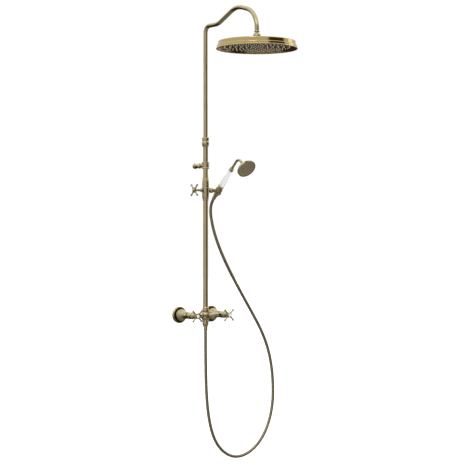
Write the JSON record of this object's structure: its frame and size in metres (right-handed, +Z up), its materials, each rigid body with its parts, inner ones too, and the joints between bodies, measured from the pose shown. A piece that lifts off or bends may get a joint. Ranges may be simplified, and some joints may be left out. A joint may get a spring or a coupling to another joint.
{
  "type": "shower column",
  "caption": "Exposed wall shower column in brass: two-handle mixer, telescopic riser, swan-neck arm with a round rain head, and a hand shower with a porcelain handle on a sliding holder.",
  "frame": {"origin": "on the wall plane, midway between the two water inlets", "axes": "+Z up, +Y into the wall, +X to the right of a person facing the wall"},
  "size_m": [0.4922, 0.5605, 1.7295],
  "materials": {
    "antique_brass": "satin-polished old brass, lightly browned",
    "raw_brass": "machined brass",
    "nozzle_brass": "fine satin brass",
    "hose_metal": "interlocked metal strip, brassed",
    "porcelain": "white glazed porcelain",
    "valve_ceramic": "polished technical ceramic",
    "nylon": "natural nylon",
    "fibre": "red fibre washer",
    "seal_rubber": "black rubber",
    "dark_screw": "darkened brass"
  },
  "bodies": {
    "root": {"mixer_body": "antique_brass", "wall_connectors": "raw_brass", "fibre_washers": "fibre", "union_nuts": "antique_brass", "rosette_hot": "antique_brass", "rosette_cold": "antique_brass", "headworks": "raw_brass", "ceramic_discs": "valve_ceramic", "bonnet_hot": "antique_brass", "bonnet_cold": "antique_brass", "diverter_cartridge": "raw_brass", "riser_nut": "antique_brass", "lower_riser": "antique_brass", "height_collar": "antique_brass", "gland_seal": "seal_rubber", "height_lock_screw": "dark_screw", "bracket_ring": "antique_brass", "bracket_stem": "antique_brass", "bracket_flange": "antique_brass", "hose_nut": "antique_brass", "hose_tube": "hose_metal"},
    "hot_handle": {"spindle_hot": "raw_brass", "cross_handle_hot": "antique_brass", "handle_screw_hot": "dark_screw", "handle_index_hot": "porcelain"},
    "cold_handle": {"spindle_cold": "raw_brass", "cross_handle_cold": "antique_brass", "handle_screw_cold": "dark_screw", "handle_index_cold": "porcelain"},
    "diverter": {"diverter_spindle": "raw_brass", "diverter_knob": "antique_brass"},
    "height_guide": {"guide_bush": "nylon"},
    "shower_arm": {"upper_riser": "antique_brass", "ball_stud": "antique_brass"},
    "head_seat": {"ball_seat": "nylon"},
    "rain_head": {"ball_nut": "antique_brass", "head_socket": "antique_brass", "head_shell": "antique_brass", "head_rim": "antique_brass", "nozzle_plate": "antique_brass", "nozzle_mat": "nozzle_brass", "head_screws": "dark_screw"},
    "slider_sleeve": {"slider_liner": "nylon"},
    "slider": {"slider_body": "antique_brass", "slider_cap": "antique_brass", "holder_arm": "antique_brass", "pivot_screw": "dark_screw"},
    "slider_clamp": {"clamp_stem": "antique_brass", "clamp_handle": "antique_brass"},
    "holder": {"hand_holder": "antique_brass", "holder_screw": "antique_brass"},
    "hand_shower": {"cone_nut": "antique_brass", "lower_ferrule": "antique_brass", "porcelain_handle": "porcelain", "hand_neck": "antique_brass", "upper_ferrule": "antique_brass", "rose_shell": "antique_brass", "rose_plate": "antique_brass", "rose_mat": "nozzle_brass"}
  },
  "joints": [
    {"name": "hot_handle_turn", "type": "hinge", "parent": "root", "child": "hot_handle", "pos_m": [-0.075, -0.1, 0], "axis": [0, -1, 0], "range_deg": [0, 90]},
    {"name": "cold_handle_turn", "type": "hinge", "parent": "root", "child": "cold_handle", "pos_m": [0.075, -0.1, 0], "axis": [0, 1, 0], "range_deg": [0, 90]},
    {"name": "diverter_turn", "type": "hinge", "parent": "root", "child": "diverter", "pos_m": [0, -0.1, 0], "axis": [0, -1, 0], "range_deg": [0, 90]},
    {"name": "height_slide", "type": "slide", "parent": "root", "child": "height_guide", "axis": [0, 0, 1], "range_m": [-0.26, 0]},
    {"name": "arm_swivel", "type": "hinge", "parent": "height_guide", "child": "shower_arm", "pos_m": [0, -0.072, 0.6], "axis": [0, 0, 1], "range_deg": [-60, 60]},
    {"name": "head_spin", "type": "hinge", "parent": "shower_arm", "child": "head_seat", "pos_m": [0, -0.3925, 1.037], "axis": [0, 0, 1], "range_deg": [-180, 180]},
    {"name": "head_tilt", "type": "hinge", "parent": "head_seat", "child": "rain_head", "pos_m": [0, -0.3925, 1.037], "axis": [1, 0, 0], "range_deg": [-12, 12]},
    {"name": "slider_slide", "type": "slide", "parent": "root", "child": "slider_sleeve", "axis": [0, 0, 1], "range_m": [-0.34, 0.02], "deforming": ["hose_tube"]},
    {"name": "slider_swivel", "type": "hinge", "parent": "slider_sleeve", "child": "slider", "pos_m": [0, -0.072, 0.48], "axis": [0, 0, 1], "range_deg": [-60, 8], "deforming": ["hose_tube"]},
    {"name": "clamp_turn", "type": "hinge", "parent": "slider", "child": "slider_clamp", "pos_m": [-0.03, -0.072, 0.48], "axis": [1, 0, 0], "range_deg": [0, 180]},
    {"name": "holder_tilt", "type": "hinge", "parent": "slider", "child": "holder", "pos_m": [0.05, -0.072, 0.48], "axis": [1, 0, 0], "range_deg": [-15, 20], "deforming": ["hose_tube"]},
    {"name": "hand_shower_lift", "type": "slide", "parent": "holder", "child": "hand_shower", "axis": [0, -0.7266, 0.6871], "range_m": [0, 0.06], "deforming": ["hose_tube"]}
  ]
}
